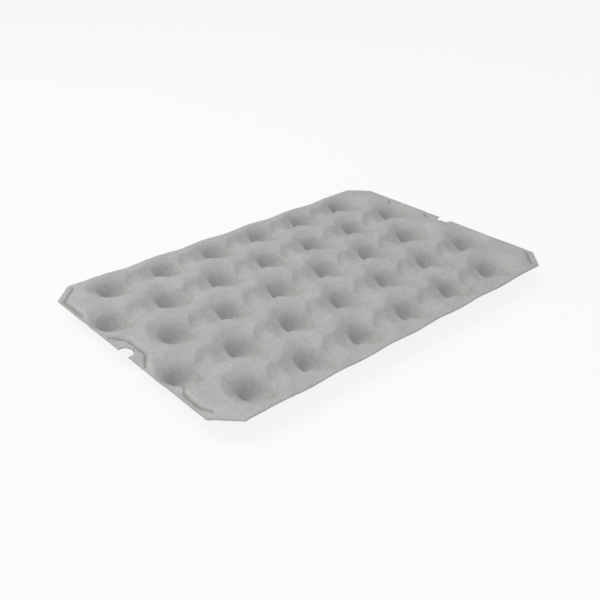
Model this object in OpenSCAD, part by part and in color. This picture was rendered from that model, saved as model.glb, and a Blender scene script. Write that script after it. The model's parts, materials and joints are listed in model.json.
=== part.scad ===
// Moulded fibre produce tray.
// One pressed sheet of paper pulp: rows of round cups, set in a honeycomb, with soft crests
// between them, a thumb notch in each short side and a cut corner at each end of both sides.
// X runs along the length, Y across the width, Z up. The cup floors stand on Z = 0.

/* [Sheet] */
// Overall length of the tray
tray_l = 570; // [540:1:620]
// Overall width of the tray
tray_w = 375; // [350:1:400]
// Thickness of the pressed fibre, measured square to its surface
wall_t = 2; // [1.2:0.1:3]
// Length that each cut corner takes off both of its sides
corner_cut = 28; // [14:1:34]

/* [Cups] */
// Distance between cup centres along a row
cup_pitch = 84; // [80:1:90]
// Distance between the centre lines of two rows
row_pitch = 74; // [70:1:80]
// Smallest distance of a cup centre from a short side
end_margin = 31; // [28:1:40]
// Smallest distance of a cup centre from a long side
side_margin = 35; // [33:1:44]
// Depth of the cup floors below the rim of the tray
cup_depth = 25; // [20:1:32]
// Radius of the flat floor of a cup
floor_r = 9; // [8:0.5:12]
// Radius of the steep well of a cup, from which a flatter funnel goes on up
well_r = 26; // [24:0.5:28]
// Radius of the funnel at the height of the rim
rim_r = 30.5; // [29:0.5:33]
// Slope of the funnel
funnel_slope = 0.55; // [0.4:0.05:0.8]
// Share of the width of the well's wall over which it curves up from the floor
foot_share = 0.35; // [0.2:0.05:0.5]
// Share of the width of the well's wall over which it bends over into the funnel
brim_share = 0.25; // [0.1:0.05:0.4]
// Rounding of the edges at which the cups and the passes cut into the ground
rim_round = 1.5; // [1:0.5:4]

/* [Crests] */
// Height above the rim of the flat land at the ends of the rows
land_h = 4.5; // [3:0.5:8]
// Height above the rim of the crest between two rows, midway between two cups
crest_h = 3.5; // [0:0.5:4]
// Height above the rim of the peaks between three cups
peak_h = 4.5; // [3:0.5:8]
// Depth below the rim of the pass between two cups of one row, midway between them
pass_depth = 6.5; // [3:0.5:12]
// Slope at which the bottom of the pass falls from there towards both cups
pass_slope = 0.45; // [0.2:0.05:0.6]
// Half of the width of that pass at the height of the land
pass_half_w = 22; // [18:0.5:26]

/* [Edges] */
// Width of the flat flange along the short sides
flange_w = 5.5; // [4:0.5:8]
// Width of the flange along the two stepped corners
corner_flange_w = 9; // [6:0.5:12]
// Length over which the step beside a flange rises to the land
step_run = 8; // [7:0.5:12]
// Length over which the land falls away to the long sides
side_slope = 28; // [20:1:34]
// Drop of the long sides between two cups
edge_dip = 2; // [0:0.5:4]

/* [Thumb notch] */
// Width of the notch at the edge
notch_w = 22; // [14:1:28]
// Depth of the notch
notch_d = 11; // [6:0.5:14]
// Distance from the edge to the back of the low pad around the notch
pad_d = 18; // [16:0.5:22]
// Half of the width of the back of that pad
pad_half_w = 19; // [15:1:24]
// Length along the edge over which the pad narrows down to the flange
pad_taper = 19; // [12:1:24]

/* [Mesh] */
// Mesh steps between two cup centres of a row
steps_x = 10; // [8:2:12]
// Mesh steps between two rows
steps_y = 8; // [6:1:9]

/* [Hidden] */

pulp_colour = [0.74, 0.73, 0.69];

half_l = tray_l / 2;
half_w = tray_w / 2;
half_pitch = cup_pitch / 2;

// Rows are numbered outwards from the middle one; every second row is half a pitch out.
long_row = floor((tray_l - 2 * end_margin) / cup_pitch) + 1;
side_rows = floor((tray_w / 2 - side_margin) / row_pitch);
outer_row_y = side_rows * row_pitch;
inner_end_x = (long_row - 2) * half_pitch;

// Length over which the crests turn into the flat land outside the outer rows.
crest_fade = row_pitch / 3;

function row_count(row) = (abs(row) % 2 == 1) ? long_row : long_row - 1;
function row_end_x(row) = (row_count(row) - 1) * half_pitch;

// Soft rise from 0 to 1 as t goes from 0 to 1.
function ease(t) = let (s = min(1, max(0, t))) s * s * (3 - 2 * s);
function mix(a, b, t) = a + (b - a) * t;

// Rise from 0 to 1 whose slope grows over the first share of t and dies away over the last one.
function ramp(t, first, last) =
    let (s = min(1, max(0, t)), top_slope = 1 / (1 - (first + last) / 2))
    (s < first) ? top_slope * s * s / (2 * first)
    : (s <= 1 - last) ? top_slope * (s - first / 2)
    : 1 - top_slope * pow(1 - s, 2) / (2 * last);
function nearest(x, step, last) = min(last, max(-last, step * round((x + last) / step) - last));

// Distance from a point to the nearest cup centre.
function cup_distance(x, y) =
    min([for (row = [-side_rows : side_rows])
        norm([x - nearest(x, cup_pitch, row_end_x(row)), y - row * row_pitch])]);

// Height of a cup at a distance from its centre: a flat floor and a funnel that rises from its
// edge, with the well sunk into them.
wall_run = well_r - floor_r;
function knee(t) = (t < foot_share) ? t * t / (2 * foot_share) : t - foot_share / 2;
function funnel(r) = funnel_slope * wall_run * knee(max(0, r - floor_r) / wall_run);
well_rise = cup_depth - funnel(rim_r);
function bowl(r) =
    funnel(r) + well_rise * ramp((r - floor_r) / wall_run, foot_share, brim_share) - cup_depth;

// The lower of two heights, with the corner between them rounded.
function soft_min(a, b) =
    min(a, b) - rim_round / 4 * pow(max(0, 1 - abs(a - b) / rim_round), 2);

// Honeycomb wave: 1 at the points between three cups and 2/3 midway between two.
function honeycomb(x, y) =
    let (a = 360 * x / cup_pitch + 180 * (long_row % 2), b = 180 * y / row_pitch)
    -(cos(2 * b) + 2 * cos(a) * cos(b)) / 1.5;

// Crest height among the cups, and how far it gives way to the flat land outside them.
function inner_crest(x, y) = mix(crest_h, peak_h, ease(3 * honeycomb(x, y) - 2));
function inner_share(x, y) =
    (1 - ease((abs(x) - inner_end_x) / half_pitch)) * (1 - ease((abs(y) - outer_row_y) / crest_fade));

// Flange and step, written for the left half; the right half is the left one turned by half a turn.
function step_line(y) =
    mix(flange_w, pad_d, ease((pad_half_w + pad_taper - abs(y)) / pad_taper));
function cut_distance(x, y) = (half_l - abs(x) + half_w - abs(y) - corner_cut) / sqrt(2);
function short_step(x, y) = ease((half_l - abs(x) - step_line(y)) / step_run);
function corner_step(x, y) =
    (x * y < 0) ? ease((cut_distance(x, y) - corner_flange_w) / step_run)
                : ease(cut_distance(x, y) / (corner_flange_w + step_run));
function side_rise(y) = ease((half_w - abs(y)) / side_slope);
function land_share(x, y) = short_step(x, y) * corner_step(x, y) * side_rise(y);

// Distance of a point, along the row, from the middle of the nearest pass.
function pass_off(x, row) = abs(x - nearest(x, cup_pitch, row_end_x(row) - half_pitch));

// Height of the pass: a trough whose bottom is a ridge in the middle and falls from there to the
// wells of both cups. Beyond the last cup of the row it climbs away.
end_slope = 2;
function trough(x, y) =
    let (row = min(side_rows, max(-side_rows, round(y / row_pitch))),
         off = pass_off(x, row), side = (y - row * row_pitch) / pass_half_w)
    (land_h + pass_depth) * side * side - pass_depth - pass_slope * min(off, half_pitch - well_r)
    + end_slope * max(0, off - half_pitch);

// How far the long sides dip between two cups.
function dip(x, y) =
    edge_dip * (1 - ease(pass_off(x, side_rows) / half_pitch))
    * ease((abs(y) - outer_row_y) / (half_w - outer_row_y));

// Height of the upper face above the rim of the tray: the ground with cups and passes cut into it.
function ground(x, y) =
    mix(land_h, inner_crest(x, y), inner_share(x, y)) * land_share(x, y) - dip(x, y);
function upper(x, y) = soft_min(soft_min(ground(x, y), trough(x, y)), bowl(cup_distance(x, y)));

// Height of the wall measured straight down, so that it is wall_t thick square to the surface.
probe = 0.5;
function slope(x, y) =
    norm([upper(x + probe, y) - upper(x - probe, y), upper(x, y + probe) - upper(x, y - probe)])
    / (2 * probe);
function drop(x, y) = wall_t * sqrt(1 + pow(slope(x, y), 2));

// Mesh lines. The inner ones fall on the cups; the outer ones follow the edges.
step_x = cup_pitch / steps_x;
step_y = row_pitch / steps_y;
core_i = floor((half_l - corner_cut - flange_w) / step_x);
core_j = side_rows * steps_y;
core_x = core_i * step_x;
core_y = core_j * step_y;
edge_i = 5;
edge_j = 4;
last_i = core_i + edge_i;
last_j = core_j + edge_j;

// Distances from the short side of the outer mesh lines, from the edge inwards.
zone = half_l - core_x;
inset_i = [0, flange_w, flange_w + step_run / 2, flange_w + step_run,
           (flange_w + step_run + zone) / 2, zone];
cut_start = half_w - corner_cut;

function line_y(j) =
    (abs(j) <= core_j) ? j * step_y
    : sign(j) * mix(cut_start, half_w, (abs(j) - core_j - 1) / (edge_j - 1));

// The edge of a short side: straight, with the notch in its middle and the cut corners.
notch_j = 3;
function notch_angle(j) = 90 * j / notch_j;
function side_y(j) =
    (abs(j) <= notch_j) ? notch_w / 2 * sin(notch_angle(j))
    : (abs(j) < 2 * notch_j) ? sign(j) * mix(notch_w / 2, line_y(2 * notch_j), abs(j) / notch_j - 1)
    : line_y(j);
function side_x(j) =
    (abs(j) <= notch_j) ? half_l - notch_d * sqrt(abs(cos(notch_angle(j))))
    : half_l - max(0, abs(line_y(j)) - cut_start);

// Mesh point i, j: the outer lines are drawn between the last inner line and the edge.
function mesh_xy(i, j) =
    (abs(i) <= core_i) ? [i * step_x, line_y(j)]
    : let (share = 1 - inset_i[last_i - abs(i)] / zone)
      [sign(i) * mix(core_x, side_x(j), share), mix(line_y(j), side_y(j), share)];

module tray() {
    rim_z = cup_depth + wall_t;
    across = 2 * last_j + 1;
    count = (2 * last_i + 1) * across;
    flat = [for (i = [-last_i : last_i]) for (j = [-last_j : last_j]) mesh_xy(i, j)];
    top = [for (p = flat) [p[0], p[1], rim_z + upper(p[0], p[1])]];
    under = [for (p = top) [p[0], p[1], p[2] - drop(p[0], p[1])]];

    // Each mesh cell becomes two triangles, split along its more level diagonal.
    corners = [for (i = [0 : 2 * last_i - 1]) for (j = [0 : 2 * last_j - 1])
        let (a = i * across + j) [a, a + across, a + across + 1, a + 1]];
    cells = [for (c = corners)
        (abs(top[c[0]][2] - top[c[2]][2]) <= abs(top[c[1]][2] - top[c[3]][2]))
        ? c : [c[1], c[2], c[3], c[0]]];
    upper_faces = [for (c = cells) each [[c[0], c[2], c[1]], [c[0], c[3], c[2]]]];
    under_faces = [for (f = upper_faces) [f[0] + count, f[2] + count, f[1] + count]];

    // The rim goes once around, from one corner of the mesh to the next.
    loop = concat(
        [for (i = [0 : 2 * last_i - 1]) i * across],
        [for (j = [0 : 2 * last_j - 1]) 2 * last_i * across + j],
        [for (i = [2 * last_i : -1 : 1]) i * across + across - 1],
        [for (j = [2 * last_j : -1 : 1]) j]);
    rim_faces = [for (k = [0 : len(loop) - 1])
        let (a = loop[k], b = loop[(k + 1) % len(loop)])
        each [[a, b, b + count], [a, b + count, a + count]]];

    color(pulp_colour)
        polyhedron(points = concat(top, under),
                   faces = concat(upper_faces, under_faces, rim_faces), convexity = 12);
}

tray();
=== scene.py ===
# %% [markdown]
# # A moulded fibre produce tray
# A tray of this kind is made from wet paper pulp that is sucked onto a wire mould, pressed and
# dried, so the whole of it is one sheet of even thickness. This lesson cuts a flat blank to the
# tray's outline, presses it into shape with a height formula, gives it its thickness, and then
# paints it with a procedural pulp material.
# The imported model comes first, because every size is taken from it or fitted to it.

import json
import math

import bmesh
import bpy
import numpy as np
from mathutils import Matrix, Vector, noise


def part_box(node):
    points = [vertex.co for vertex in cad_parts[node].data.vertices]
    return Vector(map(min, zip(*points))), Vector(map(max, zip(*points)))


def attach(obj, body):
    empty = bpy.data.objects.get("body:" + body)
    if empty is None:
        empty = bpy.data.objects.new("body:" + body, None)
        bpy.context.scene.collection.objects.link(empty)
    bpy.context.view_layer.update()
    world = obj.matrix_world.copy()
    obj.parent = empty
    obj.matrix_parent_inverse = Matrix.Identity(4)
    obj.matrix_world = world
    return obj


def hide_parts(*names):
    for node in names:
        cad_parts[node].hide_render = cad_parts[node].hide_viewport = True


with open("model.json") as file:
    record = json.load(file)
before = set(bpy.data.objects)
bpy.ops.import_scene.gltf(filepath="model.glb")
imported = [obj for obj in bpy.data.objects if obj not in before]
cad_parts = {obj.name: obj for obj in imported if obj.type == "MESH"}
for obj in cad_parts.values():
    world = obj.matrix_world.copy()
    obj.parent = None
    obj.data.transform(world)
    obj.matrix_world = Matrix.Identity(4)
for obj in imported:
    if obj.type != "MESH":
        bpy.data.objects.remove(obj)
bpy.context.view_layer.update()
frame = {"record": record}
solid_low, solid_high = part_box("tray")
mm = 0.001
print("packed tray in mm:", [round(v / mm, 1) for v in (*solid_low, *solid_high)])

# %% [markdown]
# ## Where the cups are
# The record lists one open space for each cup, so the cup centres can be read from there. The
# distance between two neighbours of a row and between two rows gives the lattice that the rest
# of the shape hangs on. The passes are the low places midway between two cups of one row.

# %% Read the lattice of the cups
spaces = frame["record"]["physics"]["openings"]
cups = np.array([[(s["box_m"][0][k] + s["box_m"][1][k]) / 2 for k in (0, 1)] for s in spaces])
row_ys = sorted(set(np.round(cups[:, 1], 5)))
rows = {y: np.sort(cups[np.isclose(cups[:, 1], y), 0]) for y in row_ys}
row_pitch = row_ys[1] - row_ys[0]
cup_pitch = rows[row_ys[0]][1] - rows[row_ys[0]][0]
half_pitch = cup_pitch / 2
print(len(cups), "cups in", len(rows), "rows,",
      round(cup_pitch / mm, 1), "x", round(row_pitch / mm, 1), "mm apart")

# %% [markdown]
# ## The flat blank
# The outline is a rectangle with four cut corners and a thumb notch in the middle of each short
# side. A fine grid carries the shape, because a height formula can only bend what has enough
# vertices. The corners are cut with bisect_plane, which also takes away what lies outside.
# Vertices that lie close to the cut snap onto it, which avoids thin slivers.

# %% Make the blank and cut its corners
half_l = solid_high.x
half_w = solid_high.y
corner_cut = 28 * mm
cell = 2.4 * mm

blank = bmesh.new()
bmesh.ops.create_grid(blank, x_segments=round(2 * half_l / cell), y_segments=round(2 * half_w / cell), size=1)
bmesh.ops.scale(blank, vec=(half_l, half_w, 1), verts=blank.verts)
for sx in (-1, 1):
    for sy in (-1, 1):
        bmesh.ops.bisect_plane(
            blank, geom=blank.verts[:] + blank.edges[:] + blank.faces[:], dist=cell / 4, use_snap_center=True,
            plane_co=(sx * half_l, sy * (half_w - corner_cut), 0), plane_no=(sx, sy, 0), clear_outer=True)
print("blank:", len(blank.faces), "faces")

# %% [markdown]
# The notch has a convex outline, so it can be scored like a baker scores dough: one straight cut
# along each side of the outline, made only in the faces around the notch. The faces that lie
# inside all of the cuts are then deleted.

# %% Cut the thumb notches
notch_w = 22 * mm
notch_d = 11 * mm
notch_sides = 10
notch_reach = 18 * mm
cut_snap = 0.05 * mm
merge_gap = 0.3 * mm


def notch_outline(end):
    """Corner points of the notch in the short side at x = end * half_l, from one mouth to the other."""
    angles = np.linspace(-math.pi / 2, math.pi / 2, notch_sides + 1)
    return [Vector((end * (half_l - notch_d * math.sqrt(abs(math.cos(a)))), notch_w / 2 * math.sin(a), 0))
            for a in angles]


def faces_near(mesh, centre, reach):
    return [f for f in mesh.faces if (f.calc_center_median() - centre).length < reach]


for end in (-1, 1):
    mouth = Vector((end * half_l, 0, 0))
    outline = notch_outline(end)
    cuts = []
    for a, b in zip(outline, outline[1:]):
        outward = Vector((a.y - b.y, b.x - a.x, 0)).normalized()
        if outward.dot(mouth - (a + b) / 2) > 0:
            outward.negate()
        cuts.append((a, outward))
    for point, outward in cuts:
        local = faces_near(blank, mouth, notch_reach)
        parts = set(local) | {e for f in local for e in f.edges} | {v for f in local for v in f.verts}
        bmesh.ops.bisect_plane(blank, geom=list(parts), dist=cut_snap, plane_co=point, plane_no=outward)
    waste = [f for f in faces_near(blank, mouth, notch_reach)
             if all((f.calc_center_median() - p).dot(n) < 0 for p, n in cuts)]
    bmesh.ops.delete(blank, geom=waste, context="FACES")
bmesh.ops.remove_doubles(blank, verts=blank.verts, dist=merge_gap)
print("with notches:", len(blank.faces), "faces")

# %% [markdown]
# ## The pressed groove
# A narrow crease runs along the foot of the step near the short sides, where the mould pinches
# the sheet. It is finer than the grid, so the grid is subdivided along its path first. The tray
# comes back onto itself when it is turned by half a turn, so each path is used twice.

# %% Refine the blank along the groove
groove_reach = 5 * mm
groove_paths = [
    [(-279.5, 104), (-279.5, 152), (-254, 177.5)],
    [(-269, -100), (-277, -110), (-278.5, -120), (-278.5, -140), (-274, -157)],
    [(-280, 40), (-274, 30), (-267, 19), (-267, -19), (-274, -30), (-280, -40)],
]
groove_lines = []
for turn in (1, -1):
    for path in groove_paths:
        points = [np.array(p) * mm * turn for p in path]
        groove_lines += list(zip(points, points[1:]))


def line_distance(xy, a, b):
    """Distance of each point to the stretch from a to b."""
    t = np.clip(((xy - a) @ (b - a)) / ((b - a) @ (b - a)), 0, 1)
    return np.linalg.norm(xy - a - t[:, None] * (b - a), axis=1)


def groove_distance(xy):
    return np.min([line_distance(xy, a, b) for a, b in groove_lines], axis=0)


edges = blank.edges[:]
middles = np.array([(e.verts[0].co + e.verts[1].co)[:2] for e in edges]) / 2
near = groove_distance(middles) < groove_reach
bmesh.ops.subdivide_edges(blank, edges=[e for e, n in zip(edges, near) if n], cuts=2, use_grid_fill=True)
print("refined:", len(blank.faces), "faces")

# %% [markdown]
# ## The height of the sheet
# The mould's shape is a few soft curves laid over each other. Each is written as a share from
# 0 to 1, and mix() blends two heights by such a share. ease() is the usual S-curve. ramp() is
# an S-curve too, but its two bends can be given different widths.

# %% Curves that the shape is made of
def ease(t):
    t = np.clip(t, 0, 1)
    return t * t * (3 - 2 * t)


def mix(a, b, share):
    return a + (b - a) * share


def soft_min(a, b, width):
    """The lower of two heights, with the corner between them rounded."""
    overlap = np.maximum(width - abs(a - b), 0) / width
    return np.minimum(a, b) - overlap ** 2 * width / 4


def ramp(t, first, last):
    t = np.clip(t, 0, 1)
    steep = 1 / (1 - (first + last) / 2)
    return np.where(t < first, steep * t * t / (2 * first),
                    np.where(t <= 1 - last, steep * (t - first / 2), 1 - steep * (1 - t) ** 2 / (2 * last)))


# %% [markdown]
# A cup is a bowl of its own, the same in every place. A flat floor lies in a steep well, and a
# flatter funnel goes on upwards from there. The ground around the cup cuts the funnel off, and
# that is where its rim lies. A pass is a trough between two cups of a row. Its bottom is highest
# midway and falls towards both cups, and its banks close in a little on the way. Beyond the last
# cup of a row it climbs out of sight.
# Sheet, cups and troughs are then laid over each other, and the lowest of them wins.

# %% Cups and passes
land_h = 4.5 * mm
cup_depth = 25 * mm
floor_r = 9 * mm
well_r = 27 * mm
rim_r = 31.5 * mm
funnel_slope = 0.65
foot_share = 0.4
brim_share = 0.4
pass_depth = 7.5 * mm
pass_slope = 0.25
pass_half_w = 21 * mm
pass_taper = 0.2
end_slope = 2
rim_round = 1.2 * mm
wall_run = well_r - floor_r


def funnel(r):
    t = np.maximum(0, r - floor_r) / wall_run
    return funnel_slope * wall_run * np.where(t < foot_share, t * t / (2 * foot_share), t - foot_share / 2)


def bowl(x, y):
    """Height of the nearest cup: 0 at rim_r, and the funnel goes on outside it."""
    r = np.min([np.hypot(x - cx, y - cy) for cx, cy in cups], axis=0)
    well = ramp((r - floor_r) / wall_run, foot_share, brim_share)
    return funnel(r) + (cup_depth - funnel(rim_r)) * well - cup_depth


def off_middle(x, xs):
    """Distance along the row from the nearest pass between the cups at xs."""
    return np.min([abs(x - px) for px in xs[:-1] + half_pitch], axis=0)


def trough(x, y):
    heights = []
    for row_y, xs in rows.items():
        off = off_middle(x, xs)
        bank = (land_h + pass_depth) * ((y - row_y) / (pass_half_w - pass_taper * off)) ** 2
        fall = pass_slope * np.minimum(off, half_pitch - well_r)
        heights.append(bank - pass_depth - fall + end_slope * np.maximum(0, off - half_pitch))
    return np.min(heights, axis=0)


# %% [markdown]
# Between the cups the sheet rises to crests and small peaks, and around them it turns into a
# flat land. The land steps down to a narrow flange at the short sides, widens to a low pad
# around each notch, and falls away softly to the long sides. Only two opposite corners have a
# crisp step, which is how a packer tells two trays that are turned apart.

# %% Land, step and flange
crest_h = 4 * mm
peak_h = 3.5 * mm
flange_w = 5.5 * mm
corner_flange_w = 9 * mm
step_run = 6.5 * mm
side_slope = 28 * mm
edge_dip = 2 * mm
pad_d = 18 * mm
pad_half_w = 19 * mm
pad_taper = 19 * mm
outer_row_y = row_ys[-1]
inner_end_x = rows[row_ys[-2]][-2]


def crest_height(x, y):
    a = math.tau * (x - rows[row_ys[1]][0]) / cup_pitch
    b = math.pi * y / row_pitch
    wave = -(np.cos(2 * b) - 2 * np.cos(a) * np.cos(b)) / 1.5
    inner = mix(crest_h, peak_h, ease(3 * wave - 2))
    share = ((1 - ease((abs(x) - inner_end_x) / half_pitch))
             * (1 - ease(3 * (abs(y) - outer_row_y) / row_pitch)))
    return mix(land_h, inner, share)


def land_share(x, y):
    foot = mix(flange_w, pad_d, ease((pad_half_w + pad_taper - abs(y)) / pad_taper))
    cut = (half_l - abs(x) + half_w - abs(y) - corner_cut) / math.sqrt(2)
    crisp = ease((cut - corner_flange_w) / step_run)
    soft = ease(cut / (corner_flange_w + step_run))
    return (ease((half_l - abs(x) - foot) / step_run) * np.where(x * y < 0, crisp, soft)
            * ease((half_w - abs(y)) / side_slope))


def side_dip(x, y):
    share = 1 - ease(off_middle(x, rows[outer_row_y]) / half_pitch)
    return edge_dip * share * ease((abs(y) - outer_row_y) / (half_w - outer_row_y))


# %% [markdown]
# ## Press the blank
# Now each vertex gets its height. The crease is a narrow dent that is subtracted. Real pulp is
# never quite even, so a slow noise lifts and lowers the sheet by a few tenths of a millimetre.
# It only ever goes down on the high ground and up on the floors, so that the tray keeps the
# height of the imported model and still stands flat.

# %% Height of each vertex
wall_t = 2 * mm
rim_z = cup_depth + wall_t
groove_d = 2.4 * mm
groove_w = 1.7 * mm
unevenness = 0.6 * mm


def lumps(points, size):
    """Smooth noise between -1 and 1 with features of about the given size."""
    return np.array([noise.noise(Vector(p) / size) for p in points])


blank.verts.ensure_lookup_table()
flat = np.array([v.co for v in blank.verts])
x, y = flat[:, 0], flat[:, 1]
ground = crest_height(x, y) * land_share(x, y) - side_dip(x, y)
height = rim_z + soft_min(soft_min(ground, trough(x, y), rim_round), bowl(x, y), rim_round)
# This profile dents the sheet, and it is also stored so that the material can paint shade into the groove.
groove_dent_and_shade = np.exp(-((groove_distance(flat[:, :2]) / groove_w) ** 2))
height -= groove_d * groove_dent_and_shade
wobble = unevenness * (0.6 * lumps(flat, 23 * mm) + 0.4 * lumps(flat + 1, 7 * mm))
height = np.clip(height + wobble - unevenness * ease((height - rim_z) / land_h), wall_t, rim_z + land_h)
print("heights from", round(height.min() / mm, 2), "to", round(height.max() / mm, 2), "mm")

# %% [markdown]
# The edge of a pulp tray is torn rather than cut. The vertices of the outline are pushed inward
# by an uneven amount, never outward, so the outline stays inside the imported model's box. No
# vertex moves further than its nearest neighbour allows, or faces would fold over. The outline and
# the crease are marked in attributes, so that the material can darken the torn edge and paint
# shade into the crease, a dark tint that stands in for the shadow in the groove.

# %% Tear the edge and apply the heights
tear = 0.9 * mm
least_tear = 0.7
free_share = 0.45
rim_verts = [v for v in blank.verts if v.is_boundary]
inward = {v: sum((f.calc_center_median() - v.co for f in v.link_faces), Vector()).normalized()
          for v in rim_verts}
for v, z in zip(blank.verts, height):
    if v in inward:
        ragged = 0.8 + 0.3 * noise.noise(v.co / (9 * mm)) + 0.3 * noise.noise(v.co / (3 * mm))
        room = min(e.calc_length() for e in v.link_edges) * free_share
        v.co += inward[v] * min(room, tear * max(least_tear, ragged))
    v.co.z = z

tray_mesh = bpy.data.meshes.new("tray_shell")
blank.to_mesh(tray_mesh)
rim_mark = tray_mesh.attributes.new("torn_edge", "FLOAT", "POINT")
rim_mark.data.foreach_set("value", [float(v.is_boundary) for v in blank.verts])
crease_shade_mark = tray_mesh.attributes.new("groove_dent_and_shade", "FLOAT", "POINT")
crease_shade_mark.data.foreach_set("value", groove_dent_and_shade)
blank.free()
tray_mesh.shade_smooth()
print("pressed sheet:", len(tray_mesh.vertices), "vertices")

# %% [markdown]
# ## Thickness
# Solidify copies the sheet below itself. Each vertex goes down along its own normal by the wall
# thickness, which keeps the sheet nearly even. A small bevel then rounds the two lips of the torn
# edge. It is limited by angle, and only the edge is that sharp.

# %% Thicken the sheet
tray = bpy.data.objects.new("fibre_tray", tray_mesh)
bpy.context.scene.collection.objects.link(tray)
thick = tray.modifiers.new("wall", "SOLIDIFY")
thick.thickness = wall_t
thick.offset = -1
lip = tray.modifiers.new("lip", "BEVEL")
lip.limit_method = "ANGLE"
lip.angle_limit = math.radians(55)
lip.width = 0.5 * mm
lip.segments = 2

# %% [markdown]
# ## The pulp material
# Recycled pulp is grey with a faint warm tinge, matt, and softly mottled. Close up it shows thin
# matted fibres, a few dark specks of print and some pin holes. All of these are noise textures
# in object coordinates, at their real size, so they stay put from every side.

# %% Helpers for nodes
pulp = bpy.data.materials.new("grey_pulp")
pulp.use_nodes = True
nodes, links = pulp.node_tree.nodes, pulp.node_tree.links
shader = nodes["Principled BSDF"]
place = nodes.new("ShaderNodeTexCoord").outputs["Object"]


def noise_at(size, detail=3, rough=0.5, twist=0, stretch=(1, 1, 1)):
    """Noise whose features are about the given size in metres."""
    scaled = nodes.new("ShaderNodeMapping")
    scaled.inputs["Scale"].default_value = stretch
    links.new(place, scaled.inputs["Vector"])
    tex = nodes.new("ShaderNodeTexNoise")
    tex.inputs["Scale"].default_value = 1 / size
    tex.inputs["Detail"].default_value = detail
    tex.inputs["Roughness"].default_value = rough
    tex.inputs["Distortion"].default_value = twist
    links.new(scaled.outputs["Vector"], tex.inputs["Vector"])
    return tex.outputs["Fac"]


def remap(value, low, high, to_low=0, to_high=1):
    node = nodes.new("ShaderNodeMapRange")
    node.interpolation_type = "SMOOTHSTEP"
    for name, number in zip(("From Min", "From Max", "To Min", "To Max"), (low, high, to_low, to_high)):
        node.inputs[name].default_value = number
    links.new(value, node.inputs["Value"])
    return node.outputs["Result"]


def calc(operation, a, b):
    node = nodes.new("ShaderNodeMath")
    node.operation = operation
    for socket, value in zip(node.inputs, (a, b)):
        if isinstance(value, (int, float)):
            socket.default_value = value
        else:
            links.new(value, socket)
    return node.outputs["Value"]


def tint(share, a, b):
    node = nodes.new("ShaderNodeMix")
    node.data_type = "RGBA"
    links.new(share, node.inputs["Factor"])
    for socket, colour in zip(("A", "B"), (a, b)):
        target = [s for s in node.inputs if s.name == socket and s.type == "RGBA"][0]
        if isinstance(colour, tuple):
            target.default_value = (*colour, 1)
        else:
            links.new(colour, target)
    return [s for s in node.outputs if s.type == "RGBA"][0]


# %% [markdown]
# A fibre is drawn where a twisted noise passes through its middle value, which gives thin
# wandering lines. Specks and pin holes come from Voronoi cells: only the cells whose random
# colour is high get one.

# %% Fibres, specks and pin holes
def fibres(size, twist):
    off_line = calc("ABSOLUTE", calc("SUBTRACT", noise_at(size, 2, 0.5, twist), 0.5), 0)
    return remap(off_line, 0, 0.03, 1, 0)


def dots(spacing, radius, keep):
    cells = nodes.new("ShaderNodeTexVoronoi")
    cells.inputs["Scale"].default_value = 1 / spacing
    links.new(place, cells.inputs["Vector"])
    chosen = nodes.new("ShaderNodeSeparateColor")
    links.new(cells.outputs["Color"], chosen.inputs["Color"])
    inside = remap(cells.outputs["Distance"], radius / spacing * 0.5, radius / spacing, 1, 0)
    return calc("MULTIPLY", inside, calc("GREATER_THAN", chosen.outputs["Red"], 1 - keep))


fine_fibres = fibres(2.5 * mm, 1.5)
long_fibres = fibres(7 * mm, 2.5)
specks = dots(5 * mm, 0.45 * mm, 0.25)
pits = dots(9 * mm, 0.7 * mm, 0.3)

# %% Colour
dry_grey = (0.475, 0.472, 0.46)
pale_grey = (0.55, 0.548, 0.535)
fibre_grey = (0.64, 0.635, 0.615)
# The speck grey also serves as the painted shade in the crease.
speck_and_crease_shade_grey = (0.25, 0.24, 0.22)
edge_grey = (0.44, 0.43, 0.40)

colour = tint(remap(noise_at(30 * mm, 4, 0.6), 0.2, 0.8), dry_grey, pale_grey)
colour = tint(remap(noise_at(4 * mm, 4, 0.7), 0.35, 0.8, 0, 0.35), colour, speck_and_crease_shade_grey)
colour = tint(calc("MULTIPLY", fine_fibres, 0.25), colour, fibre_grey)
colour = tint(calc("MULTIPLY", long_fibres, 0.2), colour, fibre_grey)
colour = tint(calc("MULTIPLY", specks, 0.6), colour, speck_and_crease_shade_grey)
# The torn edge gets a darker grey of its own. The crease gets painted shade: a dark grey that stands in for
# the shadow in the narrow groove.
for mark, share, grey in (("torn_edge", 0.7, edge_grey), ("groove_dent_and_shade", 0.55, speck_and_crease_shade_grey)):
    stored = nodes.new("ShaderNodeAttribute")
    stored.attribute_name = mark
    colour = tint(remap(stored.outputs["Fac"], 0.3, 1, 0, share), colour, grey)
links.new(colour, shader.inputs["Base Color"])

# %% [markdown]
# The same patterns raise and lower the surface a little. Fibres stand up, pits go in, and a
# fine noise gives the felt-like grain. The surface is matt, so roughness stays near one.

# %% Relief and sheen
relief = calc("ADD", calc("MULTIPLY", noise_at(1.6 * mm, 5, 0.7), 0.5),
              calc("MULTIPLY", noise_at(9 * mm, 3), 1.2))
relief = calc("ADD", relief, calc("MULTIPLY", fine_fibres, 0.2))
relief = calc("SUBTRACT", relief, calc("MULTIPLY", pits, 0.8))
bump = nodes.new("ShaderNodeBump")
bump.inputs["Strength"].default_value = 0.6
bump.inputs["Distance"].default_value = 0.5 * mm
links.new(relief, bump.inputs["Height"])
links.new(bump.outputs["Normal"], shader.inputs["Normal"])
links.new(remap(noise_at(12 * mm), 0.3, 0.7, 0.88, 0.98), shader.inputs["Roughness"])
shader.inputs["Specular IOR Level"].default_value = 0.2
shader.inputs["Sheen Weight"].default_value = 0.1
shader.inputs["Sheen Roughness"].default_value = 0.6
tray_mesh.materials.append(pulp)

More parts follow.
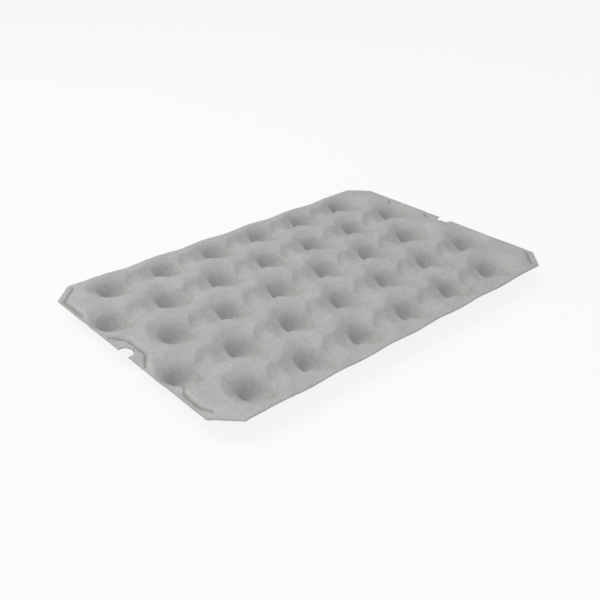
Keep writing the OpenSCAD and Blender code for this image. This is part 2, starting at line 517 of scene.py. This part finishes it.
# %% [markdown]
# ## Into the frame
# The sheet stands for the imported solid, rides on the only body, and takes the pulp finish.

# %% Hand the piece to the frame
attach(tray, "root")
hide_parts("tray")

# %% [markdown]
# ## Floor and backdrop
# The tray lies on a white studio floor. The floor shows white to the camera and in reflections,
# through Light Path, and a part of it stays a plain diffuse surface that takes the shadow. The
# lamps are not made stronger for it.

# %% Floor
floor_mesh = bpy.data.meshes.new("studio_floor")
sheet = bmesh.new()
bmesh.ops.create_grid(sheet, x_segments=1, y_segments=1, size=6)
sheet.to_mesh(floor_mesh)
sheet.free()
floor = bpy.data.objects.new("studio_floor", floor_mesh)
bpy.context.scene.collection.objects.link(floor)
floor.location.z = -0.2 * mm

paper = bpy.data.materials.new("white_paper")
paper.use_nodes = True
paper_nodes, paper_links = paper.node_tree.nodes, paper.node_tree.links
surface = paper_nodes["Principled BSDF"]
surface.inputs["Base Color"].default_value = (0.86, 0.86, 0.86, 1)
surface.inputs["Roughness"].default_value = 0.9
surface.inputs["Specular IOR Level"].default_value = 0.1
glow = paper_nodes.new("ShaderNodeEmission")
rays = paper_nodes.new("ShaderNodeLightPath")
blend = paper_nodes.new("ShaderNodeMixShader")
seen = paper_nodes.new("ShaderNodeMath")
seen.operation = "MULTIPLY"
seen.inputs[1].default_value = 0.86
straight = paper_nodes.new("ShaderNodeMath")
straight.operation = "MAXIMUM"
mirrored = paper_nodes.new("ShaderNodeMath")
mirrored.operation = "MAXIMUM"
paper_links.new(rays.outputs["Is Camera Ray"], straight.inputs[0])
paper_links.new(rays.outputs["Is Glossy Ray"], straight.inputs[1])
paper_links.new(straight.outputs["Value"], mirrored.inputs[0])
paper_links.new(rays.outputs["Is Transmission Ray"], mirrored.inputs[1])
paper_links.new(mirrored.outputs["Value"], seen.inputs[0])
paper_links.new(seen.outputs["Value"], blend.inputs["Fac"])
paper_links.new(surface.outputs["BSDF"], blend.inputs[1])
paper_links.new(glow.outputs["Emission"], blend.inputs[2])
paper_links.new(blend.outputs["Shader"], paper_nodes["Material Output"].inputs["Surface"])
floor_mesh.materials.append(paper)

# %% World
world = bpy.data.worlds.new("soft_studio")
bpy.context.scene.world = world
world.use_nodes = True
sky = world.node_tree
ambient = sky.nodes["Background"]
ambient.inputs["Color"].default_value = (0.97, 0.98, 1.0, 1)
ambient.inputs["Strength"].default_value = 0.42
backdrop = sky.nodes.new("ShaderNodeBackground")
backdrop.inputs["Color"].default_value = (1, 1, 1, 1)
sky_rays = sky.nodes.new("ShaderNodeLightPath")
sky_blend = sky.nodes.new("ShaderNodeMixShader")
sky.links.new(sky_rays.outputs["Is Camera Ray"], sky_blend.inputs["Fac"])
sky.links.new(ambient.outputs["Background"], sky_blend.inputs[1])
sky.links.new(backdrop.outputs["Background"], sky_blend.inputs[2])
sky.links.new(sky_blend.outputs["Shader"], sky.nodes["World Output"].inputs["Surface"])

# %% [markdown]
# ## Light and camera
# One large soft lamp stands at the back left and is slightly warm. A weak cool one fills from
# low at the front left, so it lights the far wall of each cup more than its floor. The camera
# looks over the near left corner, about half a right angle from each side and 29 degrees down.

# %% Lamps
def lamp(name, place_at, size, watts, colour_of):
    data = bpy.data.lights.new(name, "AREA")
    data.size = size
    data.energy = watts
    data.color = colour_of
    made = bpy.data.objects.new(name, data)
    bpy.context.scene.collection.objects.link(made)
    made.location = place_at
    made.rotation_euler = (-Vector(place_at)).to_track_quat("-Z", "Y").to_euler()
    return made


lamp("key", (-0.9, 0.9, 2.1), 2.0, 33, (1, 0.99, 0.975))
lamp("fill", (-1.3, -1.5, 0.8), 1.4, 11, (0.94, 0.97, 1))

# %% Camera
camera_data = bpy.data.cameras.new("camera")
camera_data.lens = 46.25
camera_data.sensor_width = 36
camera = bpy.data.objects.new("camera", camera_data)
bpy.context.scene.collection.objects.link(camera)
camera.location = Vector((-620.3, -676.6, 478.8)) * mm + Vector((0, 0, rim_z))
camera.rotation_euler = Vector((0.57978, 0.65034, -0.49083)).to_track_quat("-Z", "Y").to_euler()
bpy.context.scene.camera = camera
bpy.context.scene.view_settings.view_transform = "Standard"

# %% [markdown]
# ## Finish
# The finished mesh is evaluated and its triangles are counted. The visual model has to stay
# inside the imported model's box.

# %% Finish
bpy.context.view_layer.update()
finished = tray.evaluated_get(bpy.context.evaluated_depsgraph_get()).to_mesh()
finished.calc_loop_triangles()
print("triangles:", len(finished.loop_triangles))
